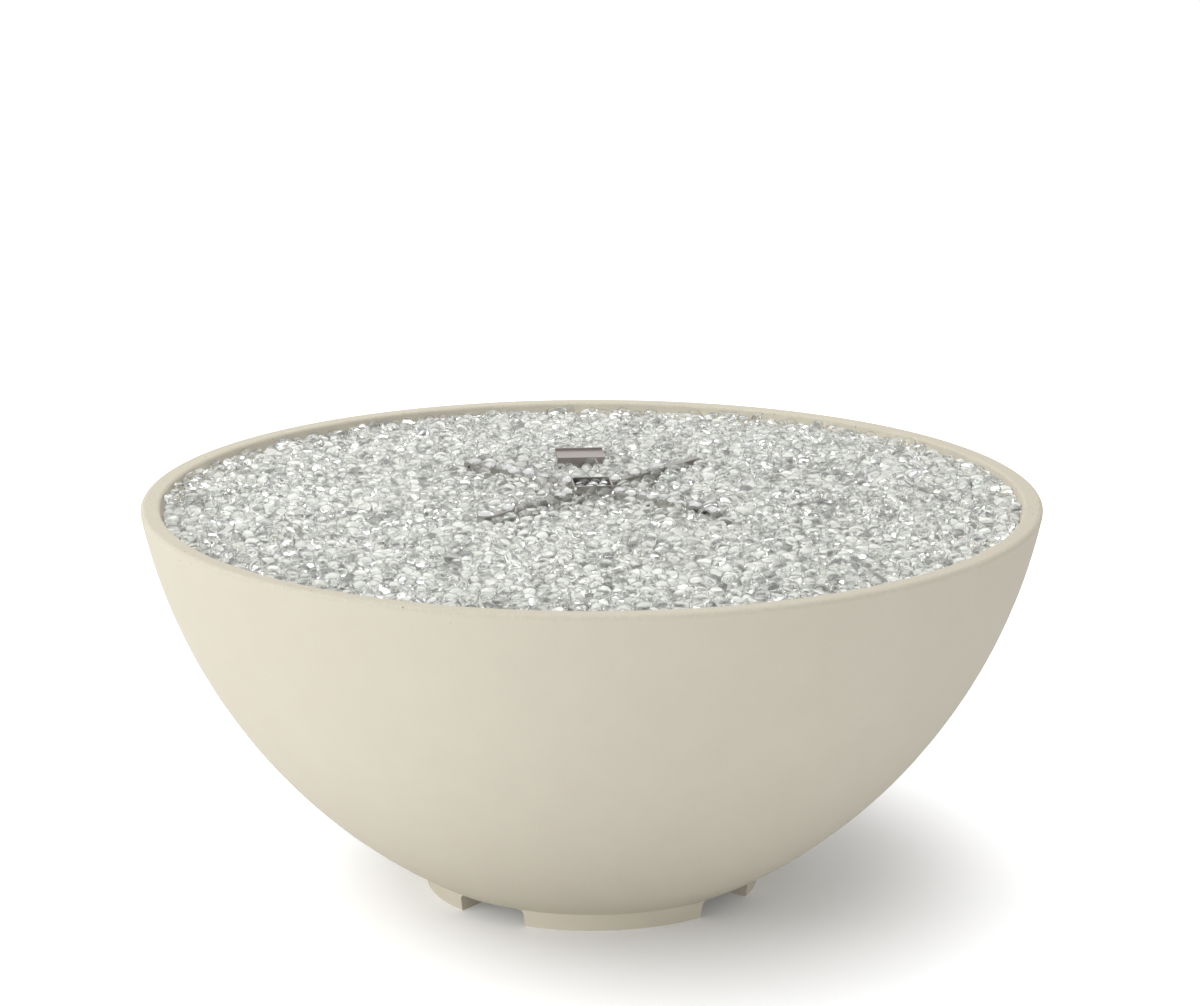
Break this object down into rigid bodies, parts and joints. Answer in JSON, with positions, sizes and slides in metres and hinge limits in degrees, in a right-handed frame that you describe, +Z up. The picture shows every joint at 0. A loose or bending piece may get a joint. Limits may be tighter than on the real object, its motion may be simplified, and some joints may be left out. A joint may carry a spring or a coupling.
{
  "type": "gas fire pit bowl",
  "caption": "Round cast concrete fire bowl on a slotted foot ring, filled with clear glass nuggets round a cross-shaped gas burner, with knob and spark button on a rear panel.",
  "frame": {"origin": "centre of the foot ring on the floor", "axes": "+Z up, -Y front, +Y towards the control panel"},
  "size_m": [1.0646, 1.0646, 0.491],
  "materials": {
    "concrete": "smooth cast, matt",
    "fire_glass": "clear, polished nuggets",
    "stainless": "satin",
    "galvanised": "dull zinc",
    "brass": "machined",
    "braid": "corrugated",
    "ceramic": "glazed",
    "copper": "drawn",
    "aluminium": "drawn",
    "silicone": "matt",
    "spring_steel": "drawn",
    "black_plastic": "satin",
    "battery": "printed sleeve, plain",
    "button_red": "gloss"
  },
  "bodies": {
    "bowl": {"bowl_shell": "concrete", "burner_pan": "stainless", "fire_glass": "fire_glass", "burner_hub": "stainless", "burner_riser": "galvanised", "riser_locknuts": "galvanised", "air_mixer": "brass", "gas_orifice": "brass", "mixer_elbow": "brass", "gas_line": "braid", "ignition_hood": "stainless", "hood_screws": "stainless", "pilot_bracket": "stainless", "pilot_burner": "stainless", "electrode_insulator": "ceramic", "electrode_rod": "stainless", "thermocouple": "copper", "pilot_tube": "aluminium", "thermocouple_lead": "copper", "igniter_lead": "silicone", "control_panel": "stainless", "panel_screws": "stainless", "gas_valve": "brass", "valve_screws": "stainless", "gas_inlet": "brass", "knob_spring": "spring_steel", "igniter_body": "black_plastic", "igniter_nut": "galvanised", "igniter_battery": "battery", "button_spring": "spring_steel", "burner_arm_rear_right": "stainless", "arm_cap_rear_right": "stainless", "burner_arm_rear_left": "stainless", "arm_cap_rear_left": "stainless", "burner_arm_front_left": "stainless", "arm_cap_front_left": "stainless", "burner_arm_front_right": "stainless", "arm_cap_front_right": "stainless"},
    "air_shutter": {"air_shutter": "stainless", "shutter_screw": "brass"},
    "valve_push": {"thrust_collar": "brass"},
    "knob": {"valve_stem": "stainless", "control_knob": "black_plastic"},
    "igniter_cap": {"igniter_cap": "black_plastic"},
    "igniter_button": {"igniter_button": "button_red"}
  },
  "joints": [
    {"name": "shutter_turn", "type": "hinge", "parent": "bowl", "child": "air_shutter", "pos_m": [0, 0, 0.293], "axis": [0, 0, 1], "range_deg": [0, 45]},
    {"name": "knob_push", "type": "slide", "parent": "bowl", "child": "valve_push", "axis": [0, 0.8672, -0.498], "range_m": [-0.004, 0], "stiffness_N_per_m": 900, "springref_m": 0.004, "deforming": ["knob_spring"]},
    {"name": "knob_turn", "type": "hinge", "parent": "valve_push", "child": "knob", "pos_m": [0.038, 0.45817, 0.27], "axis": [0, 0.8672, -0.498], "range_deg": [0, 90]},
    {"name": "igniter_cap_off", "type": "slide", "parent": "bowl", "child": "igniter_cap", "axis": [0, 0.8672, -0.498], "range_m": [0, 0.02]},
    {"name": "igniter_press", "type": "slide", "parent": "igniter_cap", "child": "igniter_button", "axis": [0, 0.8672, -0.498], "range_m": [-0.003, 0], "stiffness_N_per_m": 600, "springref_m": 0.003, "deforming": ["button_spring"]}
  ]
}
